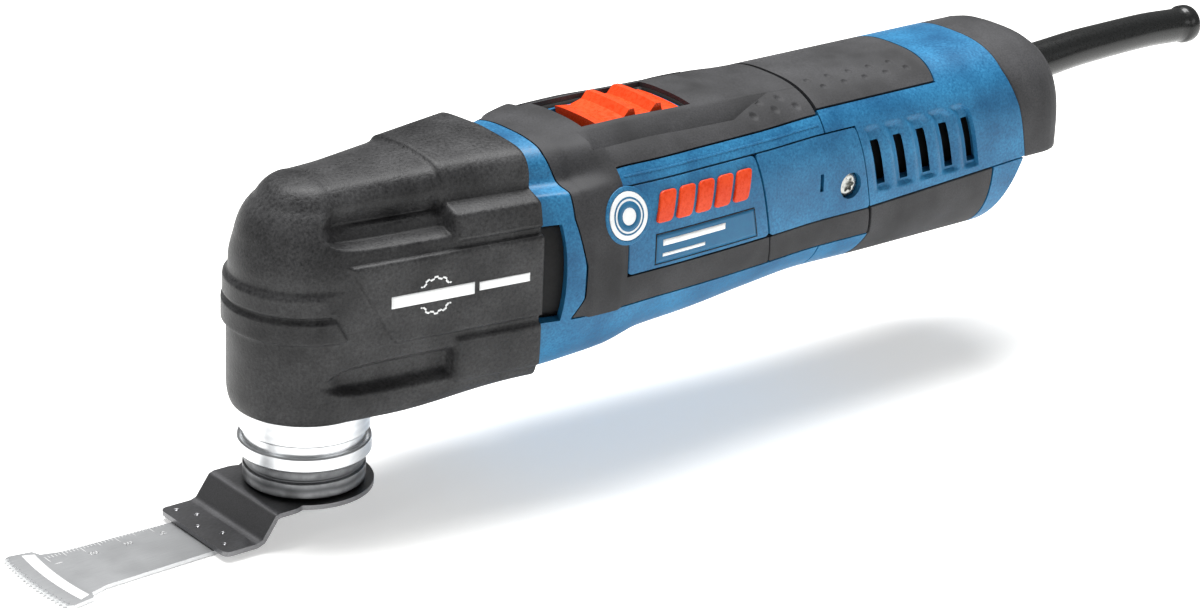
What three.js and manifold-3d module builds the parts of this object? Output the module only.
// Oscillating multi tool: millimetres, +Z up, +X from the spindle towards the cable.
// Every piece is drawn about the spindle axis (x = 0, y = 0), with z = 0 at the underside
// of the tool holder. The last lines move the whole tool so that its origin is the middle
// of its base. "Left" is -Y, the side of the tool on a user's left when it points forward.

import * as THREE from 'three';
import { mergeVertices } from 'three/addons/utils/BufferGeometryUtils.js';
import { ParametricGeometry } from 'three/addons/geometries/ParametricGeometry.js';
import Module from 'manifold-3d';

const wasm = await Module();
wasm.setup();

// ---- Driving sizes -------------------------------------------------------------------

// lengths along the tool
const headLength = 54;          // spindle axis to the rear edge of the head cover
const frontLength = 98;         // head cover to the seam behind the switch
const rearLength = 74;          // that seam to the end cap, half way up the side
const capLength = 20;           // end cap, seam to back face
const sleeveReach = 77;         // bend protection sleeve, back face to its end
const sleeveRise = 2;           // how far the sleeve arches above its exit

// the housing's outside
const noseRadius = 20;          // round front of the head, about the spindle
const headHalf = 26.8;          // half width of the head cover at its rear edge
const headTop = 81.5;
const headBottom = 18.5;
const noseTop = 80.5;
const noseBottom = 21;
const bandHalf = 27;            // half width where the motor housing starts
const bellyHalf = 31;           // half width at the switch, the widest place
const handleHalf = 28;          // half width from the seam back
const plateauTop = 84;          // height of the top beside the switch
const handleTop = 82;
const bellyBottom = 19;
const handleBottom = 26.8;
const squareness = 2.5;         // 2 is an ellipse, higher is squarer

// walls and skins
const housingWall = 3.2;
const coverWall = 2.6;
const gripSkin = 1.6;           // soft over-moulding
const plateSkin = 1.3;          // name plates
const doorSkin = 1.8;           // brush covers
const gap = 0.3;                // between pieces that meet
const fit = 0.2;                // radial, between turned pieces that seat in each other
const shadowGap = 0.5;          // between big mouldings

// spindle, output side
const spindleRadius = 5;
const spindleBottom = 3.3;
const spindleTop = 66.5;
const holderRadius = 15.9;
const holderHeight = 7.8;
const neckRadius = 17.4;
const neckTop = 22;
const neckRing = 4.1;           // ring under the groove that takes a clamp-on handle
const grooveHeight = 2.7;
const grooveDepth = 1.5;
const spigotRadius = 13.7;
const spigotTop = 27;
const lowerBearingRadius = 11;
const upperBearingRadius = 8;
const bearingHeight = 6.6;

// accessory
const bladeReach = 80.5;        // spindle axis to the tips of the middle teeth
const bladeWidth = 32;
const bladeBodyWidth = 22;
const bladeThickness = 1.2;
const armThickness = 1.3;
const armHalf = 15.5;
const hubRadius = 18;
const armDrop = 6.6;            // step from the hub down to the blade plate
const starRadius = 13.5;
const starDepth = 3;

// motor
const motorHeight = 53;         // motor axis above the tool holder's underside
const shaftRadius = 4;
const eccentricity = 0.73;
const pinRadius = 3.4;
const eccentricBearingRadius = 9;
const eccentricReach = 31;      // spindle axis to the middle of the eccentric bearing
const frontBearingRadius = 11;
const rearBearingRadius = 9.5;
const rearJournalRadius = 3.5;
const statorRadius = 22;
const statorBore = 12.5;
const armatureRadius = 12;
const coreLength = 40;
const yokeShare = 34 / 95;      // yoke's wall, of the space between bore and outside
const slotCount = 8;
const fanRadius = 20;
const fanBlades = 7;
const commutatorRadius = 9;
const commutatorBars = 12;

// controls
const windowHalf = 10.8;        // half width of the opening for the slide switch
const windowLength = 36.8;
const windowStart = 24.7;       // behind the head cover
const sliderTravel = 5;
const sliderDepth = 5.5;        // top of the plateau to the slider's underside
const rodClearance = 0.6;       // between the switch rod and what it passes over
const rimWidth = 1.1;           // inner rim round the switch opening
const dialRadius = 8;
const dialThickness = 3.6;
const dialProud = 1.2;

// electronics
const trayHeight = 20;
const trayClearance = 4.6;      // tray to the handle's inner wall
const finHeight = 4;
const moduleClearance = 1.4;    // cooling fins to the switch module

// cable outlet
const sleeveHeight = 66;        // centre of the cable exit
const sleeveRadius = 5.5;
const sleeveEndRadius = 4.95;
const sleeveBore = 3.6;

// ---- Places that follow from them ----------------------------------------------------

const headX = headLength;
const seamX = headX + frontLength;
const capX = seamX + rearLength;
const endX = capX + capLength;
const windowX = headX + windowStart;
const brushX = seamX - 5;
const coreX = headX + 26;
const coreEnd = coreX + coreLength;
const slideZ = motorHeight + statorRadius + rodClearance;   // underside of the switch rod
const sliderZ = plateauTop - sliderDepth;
const rodHeight = sliderZ - gap - slideZ;
const bladeTop = -gap - armThickness - armDrop - gap;
const bladeBottom = bladeTop - bladeThickness;
const around = 28;              // points round the big shells
const roundSides = 16;          // sides of turned pieces

// ---- Solids --------------------------------------------------------------------------

const weld = 1e-4;

function solid(geometry) {
  geometry.deleteAttribute('normal');
  geometry.deleteAttribute('uv');
  const welded = mergeVertices(geometry, weld);
  const points = welded.getAttribute('position');
  const corners = welded.index.array;
  const a = new THREE.Vector3();
  const b = new THREE.Vector3();
  const c = new THREE.Vector3();
  const faces = [];
  let volume = 0;
  for (let i = 0; i < corners.length; i += 3) {
    const [p, q, r] = [corners[i], corners[i + 1], corners[i + 2]];
    if (p === q || q === r || r === p) continue;
    faces.push(p, q, r);
    a.fromBufferAttribute(points, p);
    b.fromBufferAttribute(points, q);
    c.fromBufferAttribute(points, r);
    volume += a.dot(b.cross(c));
  }
  if (volume < 0) faces.reverse();
  return new wasm.Manifold(new wasm.Mesh({
    numProp: 3,
    vertProperties: new Float32Array(points.array),
    triVerts: new Uint32Array(faces),
  }));
}

const join = (first, ...others) => others.reduce((whole, piece) => whole.add(piece), first);
const cut = (first, ...others) => others.reduce((whole, piece) => whole.subtract(piece), first);
const common = (first, second) => first.intersect(second);

// A box from its lowest to its highest corner.
function box(low, high) {
  const size = high.map((value, i) => value - low[i]);
  const shape = new THREE.BoxGeometry(...size);
  return solid(shape.translate(...low.map((value, i) => value + size[i] / 2)));
}

// A cylinder between two points.
function rod(from, to, radius, sides = roundSides) {
  const start = new THREE.Vector3(...from);
  const axis = new THREE.Vector3(...to).sub(start);
  const shape = new THREE.CylinderGeometry(radius, radius, axis.length(), sides);
  shape.translate(0, axis.length() / 2, 0);
  const turn = new THREE.Quaternion().setFromUnitVectors(
    new THREE.Vector3(0, 1, 0), axis.normalize());
  return solid(shape.applyQuaternion(turn).translate(...from));
}

// A profile of [radius, height] turned about the spindle axis.
function turnedUp(profile, sides = roundSides) {
  const points = profile.map(([radius, height]) => new THREE.Vector2(radius, height));
  return solid(new THREE.LatheGeometry(points, sides).rotateX(Math.PI / 2));
}

// A profile of [radius, x] turned about the motor axis, shifted up by "rise".
function turnedAlong(profile, rise = 0, sides = roundSides) {
  const points = profile.map(([radius, x]) => new THREE.Vector2(radius, x));
  const shape = new THREE.LatheGeometry(points, sides).rotateZ(-Math.PI / 2);
  return solid(shape.translate(0, 0, motorHeight + rise));
}

const closed = (profile) => [...profile, profile[0]];
const band = (inner, outer, low, high) => closed(
  [[inner, low], [outer, low], [outer, high], [inner, high]]);

// An outline of [x, y] points raised from one height to another.
function raised(outline, low, high) {
  const shape = new THREE.Shape(outline.map(([x, y]) => new THREE.Vector2(x, y)));
  const depth = high - low;
  return solid(new THREE.ExtrudeGeometry(shape, { depth, bevelEnabled: false })
    .translate(0, 0, low));
}

// An outline of [x, z] points, seen from the side, pushed through from y = low to y = high.
function sideways(outline, low, high) {
  const shape = new THREE.Shape(outline.map(([x, z]) => new THREE.Vector2(x, z)));
  const depth = high - low;
  return solid(new THREE.ExtrudeGeometry(shape, { depth, bevelEnabled: false })
    .rotateX(Math.PI / 2).translate(0, high, 0));
}

// An outline of [y, z] points about the motor axis, pushed through from one x to another.
function lengthways(outline, low, high) {
  const shape = new THREE.Shape(outline.map(([y, z]) => new THREE.Vector2(y, z)));
  const depth = high - low;
  return solid(new THREE.ExtrudeGeometry(shape, { depth, bevelEnabled: false })
    .rotateY(Math.PI / 2).rotateX(Math.PI / 2).translate(low, 0, motorHeight));
}

// A skin stretched over rings that have the same number of points, closed at both ends.
function loft(rings) {
  const sides = rings[0].length;
  const middle = (ring) => ring.reduce((sum, p) => sum.add(p), new THREE.Vector3())
    .divideScalar(ring.length);
  const rows = [middle(rings[0]), ...rings, middle(rings.at(-1))];
  const last = rows.length - 1;
  const surface = (u, v, target) => {
    const row = rows[Math.round(v * last)];
    target.copy(Array.isArray(row) ? row[Math.round(u * sides) % sides] : row);
  };
  return solid(new ParametricGeometry(surface, sides, last));
}

// ---- The outside surface -------------------------------------------------------------

// Half width, top and bottom of the body at places along it.
const along = (share) => headX + frontLength * share;
const bodyStations = [
  { x: headX, half: bandHalf, top: headTop, bottom: headBottom },
  { x: along(0.13), half: bellyHalf - 0.5, top: headTop + 1, bottom: headBottom },
  { x: along(0.27), half: bellyHalf, top: plateauTop, bottom: bellyBottom },
  { x: along(0.39), half: bellyHalf, top: plateauTop, bottom: bellyBottom + 3.5 },
  { x: along(0.57), half: bellyHalf - 0.5, top: plateauTop - 0.5, bottom: bellyBottom + 5 },
  { x: along(0.78), half: (bellyHalf + handleHalf) / 2, top: handleTop + 1,
    bottom: handleBottom - 0.8 },
  { x: seamX, half: handleHalf, top: handleTop, bottom: handleBottom + 0.4 },
  { x: endX, half: handleHalf - 0.4, top: handleTop, bottom: handleBottom },
];

function bodyAt(x) {
  const last = bodyStations.length - 1;
  const after = bodyStations.findIndex((station) => station.x > x);
  if (after < 0) return bodyStations[last];
  if (after === 0) return bodyStations[0];
  const [low, high] = [bodyStations[after - 1], bodyStations[after]];
  const share = (x - low.x) / (high.x - low.x);
  const mix = (key) => low[key] + (high[key] - low[key]) * share;
  return { x, half: mix('half'), top: mix('top'), bottom: mix('bottom') };
}

function bodyRing(x, inset) {
  const { half, top, bottom } = bodyAt(x);
  const middle = (top + bottom) / 2;
  const power = (value) => Math.sign(value) * Math.abs(value) ** (2 / squareness);
  return Array.from({ length: around }, (_, i) => {
    const angle = (i / around) * 2 * Math.PI;
    const y = (half - inset) * power(Math.cos(angle));
    const z = middle + ((top - bottom) / 2 - inset) * power(Math.sin(angle));
    return new THREE.Vector3(x, y, z);
  });
}

function body(inset, from = headX, to = endX) {
  const between = bodyStations.map((s) => s.x).filter((x) => x > from + 1 && x < to - 1);
  return loft([from, ...between, to].map((x) => bodyRing(x, inset)));
}

// The layer of the body between two depths below its surface.
const layer = (outside, inside, from = headX, to = endX) =>
  cut(body(outside, from, to), body(inside, from - 1, to + 1));

// Levels of the head: share of its height, nose radius and half width at the rear.
const headLevels = [
  [0, noseRadius - 2.6, headHalf - 8],
  [0.04, noseRadius - 0.5, headHalf - 3.5],
  [0.1, noseRadius, headHalf - 0.6],
  [0.3, noseRadius, headHalf],
  [0.655, noseRadius, headHalf],
  [0.79, noseRadius - 2, headHalf - 1],
  [0.9, noseRadius - 4.8, headHalf - 2.6],
  [0.96, noseRadius - 8.2, headHalf - 6],
  [0.985, noseRadius - 12, headHalf - 11],
  [1, noseRadius - 16, headHalf - 19],
];

function headRing([share, nose, half], inset, rear) {
  const sidePoints = 4;
  const nosePoints = 12;
  const bottomAt = (x) => noseBottom + (headBottom - noseBottom) * (x / headX) + inset;
  const topAt = (x) => noseTop + (headTop - noseTop) * (x / headX) - inset;
  const level = (x) => bottomAt(x) + (topAt(x) - bottomAt(x)) * share;
  const tip = Math.max(nose - inset, 1);
  const wide = Math.max(half - inset, 1);
  const points = [];
  const put = (x, y) => points.push(new THREE.Vector3(x, y, level(Math.max(x, 0))));
  for (let i = 0; i < sidePoints; i += 1) {
    const x = rear * (1 - i / sidePoints);
    put(x, tip + (wide - tip) * (x / headX));
  }
  for (let i = 0; i <= nosePoints; i += 1) {
    const angle = (i / nosePoints) * Math.PI;
    put(-tip * Math.sin(angle), tip * Math.cos(angle));
  }
  for (let i = 1; i <= sidePoints; i += 1) {
    const x = rear * (i / sidePoints);
    put(x, -(tip + (wide - tip) * (x / headX)));
  }
  return points;
}

const head = (inset, rear = headX) =>
  loft(headLevels.map((level) => headRing(level, inset, rear)));

// ---- Outlines seen from the side -----------------------------------------------------

const high = plateauTop + 10;
const low = bladeBottom;
const lean = 0.22;              // brush covers and vents lean back by this much as they drop
const panelBottom = 47.6;       // name plate, brush cover and strip share these heights
const panelTop = 71;
const stripBottom = 39;
const gripBottom = 76;          // lower edge of the top grips
const collarStart = headX + 11;
const collarEnd = headX + 26;
const coverStart = seamX - 26.5;
const coverEnd = seamX + 11;
const leaning = (x, z) => x + (panelTop - z) * lean;

// A four-sided panel between two leaning edges, larger by "more" all round.
function panel(from, to, bottom, top, more = 0) {
  return [
    [leaning(from, bottom) - more, bottom - more],
    [leaning(to, bottom) + more, bottom - more],
    [leaning(to, top) + more, top + more],
    [leaning(from, top) - more, top + more],
  ];
}

const bodyWide = bellyHalf + 5;
const through = (outline) => sideways(outline, -bodyWide, bodyWide);

const badgeX = headX + 25.5;
const badgeZ = 63.9;
const badgeRadius = 6.1;
const badgeRim = 1.1;

const plateShape = (more = 0) => join(
  through([
    [collarEnd - more, panelBottom - more],
    [leaning(coverStart, panelBottom) - gap + more, panelBottom - more],
    [leaning(coverStart, panelTop) - gap + more, panelTop + more],
    [collarEnd - more, panelTop + more],
  ]),
  rod([badgeX, -bodyWide, badgeZ], [badgeX, bodyWide, badgeZ], badgeRadius + badgeRim + more));

const doorShape = (more = 0) => through(panel(coverStart, coverEnd, stripBottom, panelTop, more));

function frontGripShape(more = 0) {
  const collar = [
    [collarStart + 2 - more, stripBottom - more],
    [collarEnd + 2 + more, stripBottom - more],
    [collarEnd + 2 + more, high],
    [collarStart - 2 - more, high],
    [collarStart - 1 - more, gripBottom],
    [collarStart + 2 - more, motorHeight],
  ];
  const strip = [
    [collarEnd, stripBottom - more],
    [leaning(coverStart, stripBottom) - gap + more, stripBottom - more],
    [leaning(coverStart, panelBottom) - gap + more, panelBottom - gap + more],
    [collarEnd, panelBottom - gap + more],
  ];
  const top = [
    [collarEnd, gripBottom - more],
    [seamX - gap + more, gripBottom - more],
    [seamX - gap + more, high],
    [collarEnd, high],
  ];
  const solidShape = join(through(collar), through(strip), through(top));
  return cut(solidShape, plateShape(gap - more));
}

// the line between the upper and lower rear shells rises slightly to the rear
const partingRise = 0.05;
const partingAt = (x) => panelBottom + (x - coverEnd) * partingRise;
const seamTop = capX - 4;
const seamBottom = capX + 2;
const footX = capX - 8;         // foot of the slanted rear wall

const capSeam = [
  [seamTop, high],
  [seamTop, gripBottom],
  [capX - 1, sleeveHeight],
  [seamBottom, partingAt(seamBottom)],
];

const upperOutline = [
  [seamX + shadowGap, partingAt(seamX)],
  [seamX + shadowGap, high],
  ...capSeam,
];

const lowerOutline = (inset) => [
  [seamX + shadowGap - (inset ? housingWall : 0), low],
  [footX - inset, low],
  [footX - inset, handleBottom - 4],
  [seamBottom - inset, partingAt(seamBottom) - gap + (inset ? 3 : 0)],
  [seamX + shadowGap - (inset ? housingWall : 0), partingAt(seamX) - gap + (inset ? 3 : 0)],
];

const capOutline = (inset) => [
  ...capSeam.map(([x, z], i) => [x + gap - (inset ? 2 : 0), i === 3 ? z + inset : z]),
  [endX + 1, partingAt(seamBottom) - 1.5 + inset],
  [endX + 1, high],
];

const topPadShape = (more = 0) => through([
  [seamX + shadowGap - more, gripBottom + 1 - more],
  [seamX + 45 + more, gripBottom + 1 - more],
  [seamX + 47 + more, high],
  [seamX + shadowGap - more, high],
]);

const lowerPadShape = (more = 0) => through([
  [leaning(coverEnd, panelBottom) + 1 - more, partingAt(coverEnd) - gap + (more ? 1 : 0)],
  [seamX + 63.5 + more, partingAt(seamX + 63.5) - gap + (more ? 1 : 0)],
  [footX + 1 + more, low],
  [leaning(coverEnd, stripBottom) + 1 - more, low],
  [leaning(coverEnd, stripBottom) + 1 - more, stripBottom],
]);

// ---- Looks ---------------------------------------------------------------------------

const look = (color, roughness, metalness) =>
  new THREE.MeshStandardMaterial({ color, roughness, metalness });
const looks = {
  blue: () => look(0x3f7ca0, 0.45, 0),
  grip: () => look(0x4b4b4d, 0.8, 0),
  cover: () => look(0x3a3a3b, 0.65, 0),
  orange: () => look(0xe0481a, 0.4, 0),
  white: () => look(0xf2f4f5, 0.4, 0),
  sleeve: () => look(0x1c1d1d, 0.35, 0),
  castAluminium: () => look(0xb4b6b8, 0.5, 0.9),
  bright: () => look(0xe4e6e8, 0.25, 1),
  darkSteel: () => look(0x6f7072, 0.4, 1),
  blackSteel: () => look(0x2c2c2d, 0.45, 0.8),
  blade: () => look(0xcfd0d0, 0.3, 1),
  steel: () => look(0xa8aaad, 0.3, 1),
  copper: () => look(0xb4683a, 0.35, 1),
  iron: () => look(0x5c5e61, 0.5, 0.9),
  carbon: () => look(0x262626, 0.7, 0.1),
  brass: () => look(0xc9a04f, 0.35, 1),
  nylon: () => look(0x202224, 0.6, 0),
};

const tool = new THREE.Group();

// Puts a finished solid into the tool as a named mesh.
function node(name, shape, finish) {
  const { vertProperties, triVerts } = shape.getMesh();
  const geometry = new THREE.BufferGeometry();
  geometry.setAttribute('position', new THREE.BufferAttribute(vertProperties, 3));
  geometry.setIndex(new THREE.BufferAttribute(triVerts, 1));
  const mesh = new THREE.Mesh(geometry, looks[finish]());
  mesh.name = name;
  tool.add(mesh);
}

const sides = [['left', -1], ['right', 1]];

// ---- Accessory: arm, blade and its clamp ---------------------------------------------

const armFront = hubRadius + 16;
const slopeTop = hubRadius + 1;
const slopeFoot = hubRadius + 5.5;
const screwShank = 2.3;
const screwBore = screwShank + gap;

// A ring of points that step between two radii, as the drive star does.
function starOutline(outer, inner, points = 12) {
  return Array.from({ length: points * 2 }, (_, i) => {
    const angle = (i / (points * 2)) * 2 * Math.PI;
    const radius = i % 2 ? inner : outer;
    return [radius * Math.cos(angle), radius * Math.sin(angle)];
  });
}

function bladeArm() {
  const top = -gap;
  const plateTop = top - armDrop;
  const profile = [
    [hubRadius, top], [-slopeTop, top], [-slopeFoot, plateTop], [-armFront, plateTop],
    [-armFront, plateTop - armThickness], [-slopeFoot - 0.6, plateTop - armThickness],
    [-slopeTop - 0.6, top - armThickness], [hubRadius, top - armThickness],
  ];
  const plan = join(
    rod([0, 0, plateTop - 5], [0, 0, 5], hubRadius, 28),
    box([-armFront, -armHalf, plateTop - 5], [0, armHalf, 5]));
  const sheet = common(sideways(profile, -hubRadius, hubRadius), plan);
  const star = raised(starOutline(starRadius - gap, starRadius - 2 - gap), top - 0.5, 2.6);
  return cut(join(sheet, star), rod([0, 0, -10], [0, 0, 10], screwBore + 1));
}

function sawBlade() {
  const teeth = 20;
  const depth = 1.6;
  const bow = 1.4;              // the tooth line is an arc this high
  const half = bladeWidth / 2;
  const bodyHalf = bladeBodyWidth / 2;
  const edge = [];
  for (let i = 0; i <= teeth * 2; i += 1) {
    const y = -half + (bladeWidth * i) / (teeth * 2);
    const arc = bow * (y / half) ** 2;
    const set = i % 2 ? 0 : depth;
    edge.push([-bladeReach + arc + set, y]);
  }
  const shoulder = -bladeReach + 9;
  const waist = -bladeReach + 15;
  const rear = -slopeFoot - 2;
  const outline = [
    ...edge,
    [shoulder, half - 1], [shoulder + 1, bodyHalf + 1.5], [waist, bodyHalf],
    [rear - 10, bodyHalf - 1], [rear, bodyHalf - 1],
    [rear, -bodyHalf + 1], [rear - 10, -bodyHalf + 1],
    [waist, -bodyHalf], [shoulder + 1, -bodyHalf - 1.5], [shoulder, -half + 1],
  ];
  return raised(outline, bladeBottom, bladeTop);
}

const washerTop = -gap - armThickness - gap;
const washerRadius = 10;
const screwHeadTop = washerTop - 1.5;

const discSpring = () => turnedUp(closed([
  [screwShank + gap + 0.6, washerTop - 1.2], [washerRadius, washerTop - 0.7],
  [washerRadius, washerTop], [screwShank + gap + 0.6, washerTop - 0.4],
]));

function clampingScrew() {
  const headRadius = 6.5;
  const headHeight = 3.4;
  const keyAcross = 5;
  const keyRadius = keyAcross / 2 / Math.cos(Math.PI / 6);
  const screw = turnedUp([
    [0, screwHeadTop - headHeight], [headRadius - 0.8, screwHeadTop - headHeight],
    [headRadius, screwHeadTop - headHeight + 0.8], [headRadius, screwHeadTop],
    [screwShank, screwHeadTop], [screwShank, 18], [0, 18],
  ]);
  const bottom = screwHeadTop - headHeight;
  return cut(screw, rod([0, 0, bottom - 1], [0, 0, bottom + 2.6], keyRadius, 6));
}

node('saw_blade', sawBlade(), 'blade');
node('blade_arm', bladeArm(), 'blackSteel');
node('disc_spring', discSpring(), 'steel');
node('clamping_screw', clampingScrew(), 'steel');

// ---- Spindle, holder, fork and their bearings ----------------------------------------

function toolHolder() {
  const step = 4.5;
  const bodyShape = turnedUp(closed([
    [spindleRadius + fit, 0], [holderRadius - 0.5, 0], [holderRadius, 0.5],
    [holderRadius, step], [holderRadius - 0.6, step + 0.3], [holderRadius - 0.6, step + 0.6],
    [holderRadius - 0.2, step + 0.9], [holderRadius - 0.2, holderHeight],
    [spindleRadius + fit, holderHeight],
  ]));
  return cut(bodyShape, raised(starOutline(starRadius, starRadius - 2), -1, starDepth));
}

function spindle() {
  const bored = turnedUp([
    [screwBore, spindleBottom], [spindleRadius, spindleBottom],
    [spindleRadius, spindleTop - 0.6], [spindleRadius - 0.6, spindleTop],
    [0, spindleTop], [0, 21], [screwBore, 21], [screwBore, spindleBottom],
  ]);
  return bored;
}

const forkHalfHeight = 5;
const tineGap = eccentricBearingRadius + 2 * eccentricity + gap;
const tineThickness = 3;
const forkReach = eccentricReach + 6;

function fork() {
  const bottom = motorHeight - forkHalfHeight;
  const top = motorHeight + forkHalfHeight;
  const wide = tineGap + tineThickness;
  const crossFront = eccentricReach - 11;
  const crossBack = eccentricReach - 7;
  const lever = join(
    rod([0, 0, bottom], [0, 0, top], spindleRadius + 4.5),
    box([0, -spindleRadius - 1, bottom + 1], [crossFront + 1, spindleRadius + 1, top - 1]),
    box([crossFront, -wide, bottom], [crossBack, wide, top]),
    box([crossFront, tineGap, bottom], [forkReach, wide, top]),
    box([crossFront, -wide, bottom], [forkReach, -tineGap, top]));
  return cut(lever, rod([0, 0, bottom - 1], [0, 0, top + 1], spindleRadius + fit));
}

const lowerBearingZ = 14.5;
const upperBearingZ = 59.6;
const sealZ = 9.3;
const sealHeight = 4.2;
const sealRadius = 8.8;

function ballBearingUp(inner, outer, bottom) {
  const top = bottom + bearingHeight;
  const middle = (inner + outer) / 2;
  return turnedUp(closed([
    [inner, bottom], [middle, bottom + 0.4], [outer, bottom],
    [outer, top], [middle, top - 0.4], [inner, top],
  ]));
}

function ballBearingAlong(inner, outer, from, width, rise = 0) {
  const to = from + width;
  const middle = (inner + outer) / 2;
  return turnedAlong(closed([
    [inner, from], [middle, from + 0.4], [outer, from],
    [outer, to], [middle, to - 0.4], [inner, to],
  ]), rise);
}

const shaftSeal = () => turnedUp(band(
  spindleRadius + fit, sealRadius, sealZ, sealZ + sealHeight));

node('tool_holder', toolHolder(), 'darkSteel');
node('spindle', spindle(), 'steel');
node('fork', fork(), 'iron');
node('spindle_bearing_lower', ballBearingUp(
  spindleRadius + fit, lowerBearingRadius, lowerBearingZ), 'steel');
node('spindle_bearing_upper', ballBearingUp(
  spindleRadius + fit, upperBearingRadius, upperBearingZ), 'steel');
node('shaft_seal', shaftSeal(), 'nylon');

// ---- Neck, gear housing and head cover -----------------------------------------------

function neckFlange() {
  const bottom = holderHeight + gap;
  const core = neckRadius - grooveDepth;
  const grooveTop = bottom + neckRing + grooveHeight;
  return turnedUp(closed([
    [spindleRadius + 1.6, bottom], [neckRadius - 0.5, bottom], [neckRadius, bottom + 0.5],
    [neckRadius, bottom + neckRing - 0.5], [neckRadius - 0.5, bottom + neckRing],
    [core, bottom + neckRing], [core, grooveTop],
    [neckRadius - gap, grooveTop], [neckRadius - gap, neckTop],
    [spigotRadius, neckTop], [spigotRadius, spigotTop],
    [lowerBearingRadius + fit, spigotTop], [lowerBearingRadius + fit, lowerBearingZ - gap],
    [sealRadius + fit, lowerBearingZ - gap], [sealRadius + fit, sealZ - gap],
    [spindleRadius + 1.6, sealZ - gap],
  ]), 24);
}

const flangeThickness = 7;
const flangeX = headX - flangeThickness;
const coverInset = coverWall + 0.4;
const towerRadius = 16.2;
const towerCavity = 13.4;
const barrelRadius = 19;
const barrelCavity = 16.5;
const barrelFront = eccentricReach - 15;
const barrelWall = barrelRadius - barrelCavity;
const screwY = 17.6;
const screwRise = 18;
const screwRadius = 1.8;
const screwHeadRadius = 2.9;
const screwPlaces = [
  ['upper_left', -1, 1], ['upper_right', 1, 1], ['lower_left', -1, -1], ['lower_right', 1, -1],
];
const gearScrewReach = 11;

function gearHousing() {
  const flange = common(head(coverInset), box([flangeX, -bodyWide, low], [headX, bodyWide, high]));
  const upperSeat = upperBearingZ + bearingHeight + gap;
  const outside = join(
    rod([0, 0, neckTop + gap], [0, 0, motorHeight + 9], towerRadius),
    rod([0, 0, motorHeight], [0, 0, upperSeat + 3], upperBearingRadius + 3),
    rod([barrelFront, 0, motorHeight], [flangeX + 1, 0, motorHeight], barrelRadius, 24),
    box([0, -towerCavity, motorHeight - forkHalfHeight - 4],
      [barrelFront + 1, towerCavity, motorHeight + forkHalfHeight + 4]),
    flange);
  const cavity = join(
    rod([0, 0, neckTop - 1], [0, 0, motorHeight + 6], towerCavity),
    rod([barrelFront + barrelWall, 0, motorHeight], [flangeX, 0, motorHeight], barrelCavity, 24),
    box([0, -spindleRadius - 4, motorHeight - forkHalfHeight - 1],
      [barrelFront + barrelWall + 1, spindleRadius + 4, motorHeight + forkHalfHeight + 1]),
    rod([0, 0, neckTop - 1], [0, 0, spigotTop + gap], spigotRadius + gap, 24),
    rod([0, 0, motorHeight], [0, 0, upperSeat], upperBearingRadius + fit),
    rod([flangeX - 1, 0, motorHeight], [headX + 1, 0, motorHeight], frontBearingRadius + fit));
  const screwHoles = screwPlaces.map(([, side, rise]) => {
    const at = [side * screwY, motorHeight + rise * screwRise];
    return rod([flangeX - 1, ...at], [headX + 1, ...at], screwRadius + gap, 10);
  });
  return cut(outside, cavity, ...screwHoles);
}

// A scooped groove along the side of the head, between two heights.
function sideGroove(side, z) {
  const radius = 5;
  const depth = 1.7;
  const out = (x) => {
    const share = x / headX;
    const nose = noseRadius - (z > motorHeight ? 1.6 : 0);
    return side * (nose + (headHalf - nose) * share + radius - depth);
  };
  return rod([2, out(2), z], [headX - 22, out(headX - 22), z], radius, 16);
}

function headCover() {
  const shell = cut(head(0), head(coverWall, headX + 1));
  const neckHole = rod([0, 0, low], [0, 0, noseBottom + 5], neckRadius + gap, 24);
  const grooves = sides.flatMap(([, side]) => [sideGroove(side, 66), sideGroove(side, 34)]);
  return cut(shell, neckHole, ...grooves);
}

function gearScrew(side, rise) {
  const at = [side * screwY, motorHeight + rise * screwRise];
  const headFront = flangeX - gap - 2.6;
  return join(
    rod([headFront, ...at], [flangeX - gap, ...at], screwHeadRadius, 12),
    rod([headFront + 1, ...at], [headX + gearScrewReach, ...at], screwRadius, 8));
}

node('neck_flange', neckFlange(), 'bright');
node('gear_housing', gearHousing(), 'castAluminium');
node('head_cover', headCover(), 'cover');
screwPlaces.forEach(([place, side, rise]) =>
  node(`gear_screw_${place}`, gearScrew(side, rise), 'steel'));

// ---- Motor: turning parts ------------------------------------------------------------

const bearingInner = shaftRadius + fit;
const eccentricWidth = 8;
const fanX = headX + 3.5;
const windingFront = coreX - 11;
const windingRear = coreEnd + 11;
const windingRadius = armatureRadius - 1;
const commutatorX = windingRear + 3;
const commutatorEnd = brushX + 8;
const rearBearingX = commutatorEnd + 5.3;
const rearBearingWidth = 6;
const turned = 2 * Math.PI;

function armatureShaft() {
  const pinFront = eccentricReach - eccentricWidth / 2 - 0.7;
  const pinBack = eccentricReach + eccentricWidth / 2 + 1;
  const shoulder = rearBearingX - gap;
  const shaft = turnedAlong([
    [0, pinBack], [shaftRadius, pinBack], [shaftRadius, shoulder],
    [rearJournalRadius, shoulder], [rearJournalRadius, rearBearingX + rearBearingWidth + 0.6],
    [0, rearBearingX + rearBearingWidth + 0.6],
  ]);
  const pin = turnedAlong([
    [0, pinFront], [pinRadius, pinFront], [pinRadius, pinBack + 2], [0, pinBack + 2],
  ], eccentricity);
  return join(shaft, pin);
}

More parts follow.
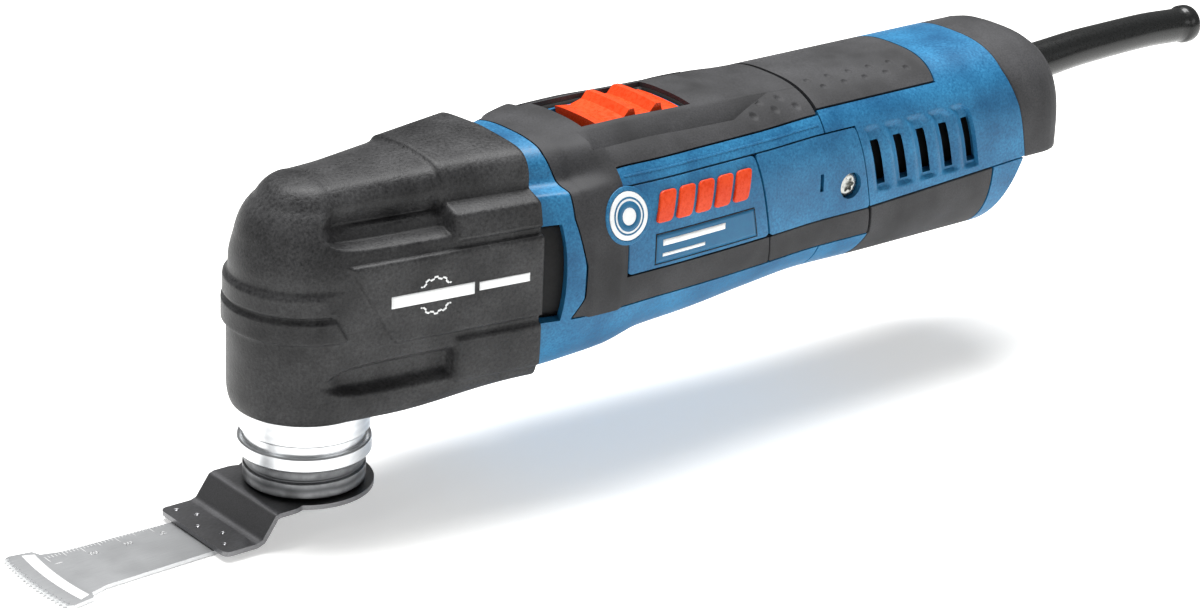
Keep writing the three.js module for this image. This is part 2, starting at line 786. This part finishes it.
function slottedOutline(outer, root, count, width) {
  const points = [];
  const half = width / 2;
  for (let i = 0; i < count; i += 1) {
    const angle = (i / count) * turned;
    const next = ((i + 1) / count) * turned;
    const tooth = [Math.asin(half / root), Math.asin(half / outer)];
    const polar = (radius, at) => [radius * Math.cos(at), radius * Math.sin(at)];
    points.push(polar(root, angle - tooth[0]), polar(root, angle + tooth[0]));
    points.push(polar(outer, angle + tooth[1]));
    points.push(polar(outer, (angle + next) / 2));
    points.push(polar(outer, next - tooth[1]));
  }
  return points;
}

const slotWidth = 2.6;
const slotRoot = 6.8;

function laminationStack() {
  const core = lengthways(slottedOutline(armatureRadius, slotRoot, slotCount, slotWidth),
    coreX, coreEnd);
  return cut(core, rod([coreX - 1, 0, motorHeight], [coreEnd + 1, 0, motorHeight], bearingInner));
}

function armatureWinding() {
  const ring = (from, to) => turnedAlong(closed([
    [bearingInner, from], [windingRadius - 2, from], [windingRadius, from + 2],
    [windingRadius, to - 2], [windingRadius - 1, to], [bearingInner, to],
  ]));
  const wireHalf = slotWidth / 2 - gap;
  const wires = Array.from({ length: slotCount }, (_, i) => {
    const bar = new THREE.BoxGeometry(windingRear - windingFront - 4, wireHalf * 2, 3.4);
    bar.translate((windingFront + windingRear) / 2, 0, slotRoot + gap + 1.7);
    bar.rotateX(Math.PI / 2 + (i / slotCount) * turned);
    return solid(bar.translate(0, 0, motorHeight));
  });
  return join(ring(windingFront, coreX - gap), ring(coreEnd + gap, windingRear), ...wires);
}

function commutator() {
  const riser = 2.5;
  const drum = lengthways(slottedOutline(commutatorRadius, commutatorRadius - 0.5,
    commutatorBars, 0.5), commutatorX + 1, commutatorEnd);
  const collar = turnedAlong(band(bearingInner, commutatorRadius + 1,
    commutatorX, commutatorX + riser));
  const bore = rod([commutatorX - 1, 0, motorHeight], [commutatorEnd + 1, 0, motorHeight],
    bearingInner);
  return cut(join(drum, collar), bore);
}

function fan() {
  const hub = turnedAlong(band(bearingInner, 8, fanX, fanX + 9));
  const disc = turnedAlong(band(bearingInner, fanRadius, fanX, fanX + 1.5), 0, 24);
  const blades = Array.from({ length: fanBlades }, (_, i) => {
    const blade = new THREE.BoxGeometry(8, 1.4, fanRadius - 8);
    blade.translate(fanX + 5, 0, (fanRadius + 8) / 2 - 0.4);
    blade.rotateX((i / fanBlades) * turned);
    return solid(blade.translate(0, 0, motorHeight));
  });
  return join(disc, hub, ...blades);
}

node('armature_shaft', armatureShaft(), 'steel');
node('eccentric_bearing', ballBearingAlong(pinRadius + fit, eccentricBearingRadius,
  eccentricReach - eccentricWidth / 2, eccentricWidth, eccentricity), 'steel');
node('lamination_stack', laminationStack(), 'iron');
node('armature_winding', armatureWinding(), 'copper');
node('commutator', commutator(), 'copper');
node('fan', fan(), 'nylon');
node('front_bearing', ballBearingAlong(bearingInner, frontBearingRadius,
  flangeX + 0.4, flangeThickness - 0.8), 'steel');
node('rear_bearing', ballBearingAlong(rearJournalRadius + fit, rearBearingRadius,
  rearBearingX, rearBearingWidth), 'steel');

// ---- Motor: fixed parts --------------------------------------------------------------

const yokeWall = (statorRadius - statorBore) * yokeShare;
const yokeInner = statorRadius - yokeWall;
const poleHalf = statorBore + 0.1;

function statorCore() {
  const yoke = turnedAlong(band(yokeInner, statorRadius, coreX, coreEnd), 0, 28);
  const poleRing = turnedAlong(band(statorBore, yokeInner + 0.5, coreX, coreEnd), 0, 28);
  const poles = common(poleRing, box(
    [coreX - 1, -poleHalf, motorHeight - statorRadius],
    [coreEnd + 1, poleHalf, motorHeight + statorRadius]));
  const upper = cut(poles, box([coreX - 2, -30, motorHeight - 4], [coreEnd + 2, 30, motorHeight + 4]));
  return join(yoke, upper);
}

function fieldCoil(up) {
  const inner = statorBore + 0.5;
  const outer = yokeInner - 1.1;
  const endTurn = 7.5;
  const halfSpace = (from, to) => up > 0
    ? box([from, -30, motorHeight + 1], [to, 30, motorHeight + 30])
    : box([from, -30, motorHeight - 30], [to, 30, motorHeight - 1]);
  const arch = (from, to) => common(
    turnedAlong(band(inner, outer, from, to)), halfSpace(from - 1, to + 1));
  const bar = (side) => {
    const ys = [side * (poleHalf + gap), side * (outer - 0.9)].sort((p, q) => p - q);
    const zs = [motorHeight + up, motorHeight + up * 6.8].sort((p, q) => p - q);
    return box([coreX - 2, ys[0], zs[0]], [coreEnd + 2, ys[1], zs[1]]);
  };
  return join(arch(coreX - endTurn, coreX - gap), arch(coreEnd + gap, coreEnd + endTurn),
    bar(1), bar(-1));
}

const bracketX = commutatorEnd + 0.5;
const bracketThickness = 3;

function endBracket() {
  const plate = body(housingWall + gap, bracketX, bracketX + bracketThickness);
  const cup = turnedAlong(band(rearBearingRadius + fit, rearBearingRadius + 2.6,
    bracketX, rearBearingX + rearBearingWidth));
  const shaftHole = rod([bracketX - 1, 0, motorHeight], [bracketX + 20, 0, motorHeight],
    shaftRadius + 1.5);
  const seat = rod([rearBearingX - gap, 0, motorHeight], [rearBearingX + 20, 0, motorHeight],
    rearBearingRadius + fit);
  const airHoles = sides.flatMap(([, y]) => [-1, 1].map((z) => rod(
    [bracketX - 1, y * 14.5, motorHeight + z * 13], [bracketX + 5, y * 14.5, motorHeight + z * 13],
    5, 10)));
  const rodNotch = box([bracketX - 1, -4.5, slideZ - 0.6], [bracketX + 5, 4.5, high]);
  return cut(join(plate, cup), shaftHole, seat, rodNotch, ...airHoles);
}

const holderInner = commutatorRadius + 1.4;
const holderOuter = handleHalf - housingWall - 0.8;
const brushLong = 6.4;
const brushHigh = 5.2;
const brushBack = commutatorRadius + 8;

function across(side, near, far, long, tall) {
  const ys = [side * near, side * far].sort((p, q) => p - q);
  return box([brushX - long / 2, ys[0], motorHeight - tall / 2],
    [brushX + long / 2, ys[1], motorHeight + tall / 2]);
}

const brushHolder = (side) => cut(
  across(side, holderInner, holderOuter, brushLong + 2.6, brushHigh + 2.6),
  across(side, holderInner - 1, holderOuter - 0.8, brushLong + 2 * gap, brushHigh + 2 * gap));

const carbonBrush = (side) => across(side, commutatorRadius + gap, brushBack, brushLong, brushHigh);

const springTurns = 4;
const springSteps = 8;          // straight pieces to a turn
const springRadius = 1.9;
const springWire = 0.3;

function brushSpring(side) {
  const start = brushBack + gap + springWire;
  const length = holderOuter - 0.8 - gap - springWire - start;
  const steps = springTurns * springSteps;
  const points = Array.from({ length: steps + 1 }, (_, i) => {
    const angle = (i / springSteps) * turned;
    const y = start + (length * i) / steps;
    return new THREE.Vector3(brushX + springRadius * Math.cos(angle), side * y,
      motorHeight + springRadius * Math.sin(angle));
  });
  const path = new THREE.CatmullRomCurve3(points);
  const wire = new THREE.Shape([[1, 0], [0, 1], [-1, 0], [0, -1]]
    .map(([x, y]) => new THREE.Vector2(x * springWire, y * springWire)));
  return solid(new THREE.ExtrudeGeometry(wire, {
    steps, extrudePath: path, bevelEnabled: false }));
}

node('stator_core', statorCore(), 'iron');
node('field_coil_upper', fieldCoil(1), 'copper');
node('field_coil_lower', fieldCoil(-1), 'copper');
node('end_bracket', endBracket(), 'nylon');
sides.forEach(([name, side]) => {
  node(`brush_holder_${name}`, brushHolder(side), 'brass');
  node(`carbon_brush_${name}`, carbonBrush(side), 'carbon');
  node(`brush_spring_${name}`, brushSpring(side), 'steel');
});

// ---- Front housing, grip and name plates ---------------------------------------------

const ventSlotTop = 64;
const ventSlotBottom = 40;
const windowEnd = windowX + windowLength;
const windowBox = (shrink) => box(
  [windowX + shrink, -windowHalf + shrink, slideZ],
  [windowEnd - shrink, windowHalf - shrink, high]);

function motorHousing() {
  const start = headX + gap;
  const shell = cut(body(0, start, seamX), body(housingWall, start - 2, seamX + 2));
  const bosses = screwPlaces.map(([, side, rise]) => {
    const at = [side * screwY, motorHeight + rise * screwRise];
    return rod([start, ...at], [headX + gearScrewReach + 2, ...at], screwRadius + 2.6, 10);
  });
  const whole = common(join(shell, ...bosses), body(0, start, seamX));
  const screwHoles = screwPlaces.map(([, side, rise]) => {
    const at = [side * screwY, motorHeight + rise * screwRise];
    return rod([start - 1, ...at], [headX + gearScrewReach + gap, ...at], screwRadius + gap, 10);
  });
  const slots = through([
    [start - 1, ventSlotBottom], [start + 5, ventSlotBottom],
    [start + 6, motorHeight], [start + 5, ventSlotTop], [start - 1, ventSlotTop],
  ]);
  const gripBed = cut(common(layer(-1, gripSkin + gap, start - 1, seamX + 1),
    frontGripShape(gap)), windowBox(gap));
  const plateBed = common(layer(-1, plateSkin + gap, start - 1, seamX + 1), plateShape(gap));
  const doorBed = common(layer(-1, doorSkin + gap, start - 1, seamX + 1), doorShape(gap));
  return cut(whole, ...screwHoles, slots, gripBed, plateBed, doorBed,
    windowBox(gap + rimWidth));
}

const frontGrip = () => cut(
  common(layer(0, gripSkin, headX, seamX - gap), frontGripShape()), windowBox(0));

const onSide = (side) => box(
  [headX - 40, side > 0 ? 0 : -bodyWide, low], [endX + 5, side > 0 ? bodyWide : 0, high]);

function namePlate(side) {
  const plate = common(common(layer(0, plateSkin, headX, seamX), plateShape()), onSide(side));
  const recess = common(layer(-1, plateSkin - 0.5, headX, seamX),
    rod([badgeX, 0, badgeZ], [badgeX, side * bodyWide, badgeZ], badgeRadius + fit));
  return cut(plate, recess);
}

const badge = (side) => common(layer(-0.2, plateSkin - 0.8, headX, seamX),
  rod([badgeX, 0, badgeZ], [badgeX, side * bodyWide, badgeZ], badgeRadius));

node('motor_housing', motorHousing(), 'blue');
node('front_grip', frontGrip(), 'grip');
sides.forEach(([name, side]) => {
  node(`name_plate_${name}`, namePlate(side), 'blue');
  node(`badge_${name}`, badge(side), 'white');
});

// ---- Brush covers --------------------------------------------------------------------

const coverScrewX = seamX + 8.4;
const coverScrewZ = 55.5;
const coverScrewHead = 3.5;
const pryX = seamX - 2.4;
const prySlot = [1.3, 5];

function brushCover(side) {
  const cover = common(common(layer(0, doorSkin, headX, endX), doorShape()), onSide(side));
  const screwHole = rod([coverScrewX, 0, coverScrewZ], [coverScrewX, side * bodyWide, coverScrewZ],
    coverScrewHead + fit, 14);
  const pry = box(
    [pryX - prySlot[0] / 2, -bodyWide, 58.4 - prySlot[1] / 2],
    [pryX + prySlot[0] / 2, bodyWide, 58.4 + prySlot[1] / 2]);
  return cut(cover, screwHole, pry);
}

function coverScrew(side) {
  const face = bodyAt(coverScrewX).half - 0.5;
  const at = (depth) => [coverScrewX, side * (face - depth), coverScrewZ];
  const socket = rod(at(1.2), at(-1), 1.5, 6);
  return cut(join(
    rod(at(1.6), at(0), coverScrewHead, 14),
    rod(at(7.5), at(1), 1.5, 8)), socket);
}

sides.forEach(([name, side]) => {
  node(`brush_cover_${name}`, brushCover(side), 'blue');
  node(`brush_cover_screw_${name}`, coverScrew(side), 'steel');
});

// ---- Rear shells, their grips and the end cap ----------------------------------------

const rearSkin = () => body(0, seamX + shadowGap, endX);
const rearHollow = () => body(housingWall, seamX - 2, endX + 2);
const bedUnder = (skin) => layer(-1, skin + gap, seamX - 1, endX + 1);

const coverScrewBore = () => rod([coverScrewX, -bodyWide, coverScrewZ],
  [coverScrewX, bodyWide, coverScrewZ], 1.5 + gap, 8);
const coverScrewSeat = (side) => rod(
  [coverScrewX, side * (bodyAt(coverScrewX).half - 2.4), coverScrewZ],
  [coverScrewX, side * bodyWide, coverScrewZ], coverScrewHead + gap, 14);

const ventCount = 5;
const ventPitch = 8.6;
const ventX = seamX + 16.4;
const ventTop = 66.8;
const ventBottom = 53;
const ventWidth = 2.8;

const dialX = capX - 13;
const dialY = handleHalf - 0.35 + dialProud - dialRadius;
const dialZ = 60;

function rearShellUpper() {
  const shell = cut(common(rearSkin(), through(upperOutline)), rearHollow());
  const vents = Array.from({ length: ventCount }, (_, i) => {
    const x = ventX + i * ventPitch;
    return through(panel(x - 0.8, x - 0.8 + ventWidth, ventBottom, ventTop));
  });
  const padBed = common(bedUnder(gripSkin), topPadShape(gap));
  const doorBed = common(bedUnder(doorSkin), doorShape(gap));
  const dialHalf = dialThickness / 2 + shadowGap;
  const dialSlot = rod([dialX, dialY, dialZ - dialHalf], [dialX, dialY, dialZ + dialHalf],
    dialRadius + shadowGap);
  const seats = sides.map(([, side]) => coverScrewSeat(side));
  return cut(shell, padBed, doorBed, dialSlot, coverScrewBore(), ...seats, ...vents);
}

function rearShellLower() {
  const outside = common(rearSkin(), through(lowerOutline(0)));
  const inside = common(rearHollow(), through(lowerOutline(housingWall)));
  const padBed = common(bedUnder(gripSkin), lowerPadShape(gap));
  const doorBed = common(bedUnder(doorSkin), doorShape(gap));
  return cut(outside, inside, padBed, doorBed);
}

const topPad = () => common(layer(0, gripSkin, seamX, endX), topPadShape());
const lowerPad = () => common(layer(0, gripSkin, seamX, endX), lowerPadShape());

function capBody(inset) {
  const rounding = [[9, 0], [6, 1], [3.5, 2.6], [1.5, 5], [0.3, 7.6], [0, 9.5]];
  const rings = [bodyRing(seamTop - 4, inset)];
  rounding.forEach(([back, pull]) => rings.push(
    bodyRing(endX - back, inset + pull).map((p) => p.setX(endX - back - inset))));
  return loft(rings);
}

function endCap() {
  const outside = common(capBody(0), through(capOutline(0)));
  const inside = common(capBody(housingWall), through(capOutline(housingWall)));
  const exit = rod([endX - 15, 0, sleeveHeight], [endX + 5, 0, sleeveHeight], sleeveRadius + gap);
  return cut(outside, inside, exit);
}

node('rear_shell_upper', rearShellUpper(), 'blue');
node('rear_shell_lower', rearShellLower(), 'blue');
node('rear_grip_top', topPad(), 'grip');
node('rear_grip_lower', lowerPad(), 'grip');
node('end_cap', endCap(), 'grip');

// ---- Cable outlet --------------------------------------------------------------------

// Centre line of the sleeve: straight out of the cap, then a long low arch.
const sleeveStart = endX - 10;
const sleeveEnd = endX + sleeveReach;
const sleeveLine = new THREE.CatmullRomCurve3([
  new THREE.Vector3(sleeveStart, 0, sleeveHeight),
  new THREE.Vector3(endX + 4, 0, sleeveHeight),
  new THREE.Vector3(endX + sleeveReach * 0.4, 0, sleeveHeight + sleeveRise * 0.8),
  new THREE.Vector3(endX + sleeveReach * 0.72, 0, sleeveHeight + sleeveRise),
  new THREE.Vector3(sleeveEnd, 0, sleeveHeight + sleeveRise * 0.55),
]);

// A ring square to the centre line; "share" runs from 0 at the start to 1 at the end.
function sleeveRing(share, radius, push = 0) {
  const middle = sleeveLine.getPointAt(share);
  const ahead = sleeveLine.getTangentAt(share);
  const up = new THREE.Vector3(-ahead.z, 0, ahead.x);
  const steps = 12;
  return Array.from({ length: steps }, (_, i) => {
    const angle = (i / steps) * turned;
    return middle.clone()
      .addScaledVector(ahead, push)
      .addScaledVector(up, radius * Math.sin(angle))
      .add(new THREE.Vector3(0, radius * Math.cos(angle), 0));
  });
}

function cableSleeve() {
  const steps = 9;
  const flangeEnd = 0.05;
  const beadStart = 0.955;
  const rings = [sleeveRing(0, 7.5), sleeveRing(flangeEnd - 0.003, 7.5)];
  for (let i = 0; i <= steps; i += 1) {
    const share = flangeEnd + (beadStart - flangeEnd) * (i / steps);
    const taper = Math.min(share / 0.5, 1);
    rings.push(sleeveRing(share, sleeveRadius + (sleeveEndRadius - sleeveRadius) * taper));
  }
  rings.push(sleeveRing(beadStart + 0.006, sleeveEndRadius + 0.85));
  rings.push(sleeveRing(0.99, sleeveEndRadius + 0.85), sleeveRing(1, sleeveEndRadius + 0.2));
  const bore = [sleeveRing(0, sleeveBore, -2)];
  for (let i = 0; i <= steps; i += 1) bore.push(sleeveRing(i / steps, sleeveBore));
  bore.push(sleeveRing(1, sleeveBore, 2));
  return cut(loft(rings), loft(bore));
}

function cableClamp() {
  const x = capX + 1;
  const saddle = sleeveHeight + 4.2;
  const bar = box([x, -10, saddle - 1.5], [x + 7, 10, saddle + 3]);
  const groove = rod([x - 1, 0, sleeveHeight], [x + 8, 0, sleeveHeight], 4);
  return cut(bar, groove);
}

node('cable_sleeve', cableSleeve(), 'sleeve');
node('cable_clamp', cableClamp(), 'nylon');

// ---- Switch, electronics and speed dial ----------------------------------------------

const plateTopZ = sliderZ + 3.1;
const ribTop = plateauTop + 1;
const sliderPlay = gap + rimWidth + gap;
const sliderLength = windowLength - 2 * sliderPlay - sliderTravel;
const sliderX = windowEnd - sliderPlay - sliderLength;
const ribPlaces = [11, 20];

function switchSlider() {
  const half = windowHalf - sliderPlay;
  const foot = box([sliderX - 1.5, -half - 0.9, sliderZ],
    [sliderX + sliderLength, half + 0.9, sliderZ + 0.5]);
  const plate = box([sliderX, -half, sliderZ], [sliderX + sliderLength, half, plateTopZ]);
  const ribs = ribPlaces.map((x) => sideways([
    [sliderX + x - 2, plateTopZ - 0.5], [sliderX + x + 2, plateTopZ - 0.5],
    [sliderX + x + 1.6, ribTop], [sliderX + x - 0.2, ribTop],
  ], -half, half));
  return join(foot, plate, ...ribs);
}

const moduleX = seamX + 26;

function switchRod() {
  const bar = box([sliderX + 12, -3, slideZ], [moduleX + 10, 3, slideZ + rodHeight]);
  const finger = box([moduleX - 8, -3, slideZ - 6], [moduleX - 4, 3, slideZ + 1]);
  return join(bar, finger);
}

const trayBottom = handleBottom + housingWall + trayClearance;
const finTop = trayBottom + trayHeight + finHeight;

function switchModule() {
  const top = slideZ - rodClearance;
  const base = finTop + moduleClearance;
  const bodyShape = box([moduleX, -9, base], [moduleX + 24, 9, top]);
  const terminals = [-5, 5].map((y) => box([moduleX + 22, y - 1.5, base + 3],
    [moduleX + 28, y + 1.5, base + 4]));
  return join(bodyShape, ...terminals);
}

function electronicsModule() {
  const trayTop = trayBottom + trayHeight;
  const tray = box([moduleX, -16, trayBottom], [moduleX + 32, 16, trayTop]);
  const fins = Array.from({ length: 4 }, (_, i) => box(
    [moduleX + 4, -14 + i * 8, trayTop - 1], [moduleX + 20, -12 + i * 8, finTop]));
  return join(tray, ...fins);
}

function speedDial() {
  const outline = slottedOutline(dialRadius, dialRadius - 0.5, 14, 0.9)
    .map(([x, y]) => [x + dialX, y + dialY]);
  const wheel = raised(outline, dialZ - dialThickness / 2, dialZ + dialThickness / 2);
  return join(wheel, rod([dialX, dialY, dialZ - 4.5], [dialX, dialY, dialZ], 2.5, 10));
}

node('switch_slider', switchSlider(), 'orange');
node('switch_rod', switchRod(), 'nylon');
node('switch_module', switchModule(), 'nylon');
node('electronics_module', electronicsModule(), 'nylon');
node('speed_dial', speedDial(), 'nylon');

// ---- The tool's own frame: middle of its base ----------------------------------------

const frontReach = -bladeReach;
const backReach = sleeveLine.getPointAt(1).x + sleeveEndTilt();

// The tilted end face of the sleeve reaches a little past its centre.
function sleeveEndTilt() {
  const ahead = sleeveLine.getTangentAt(1);
  return Math.abs(ahead.z) * (sleeveEndRadius + 0.2);
}

tool.position.set(-(frontReach + backReach) / 2, 0, -bladeBottom);

export default tool;
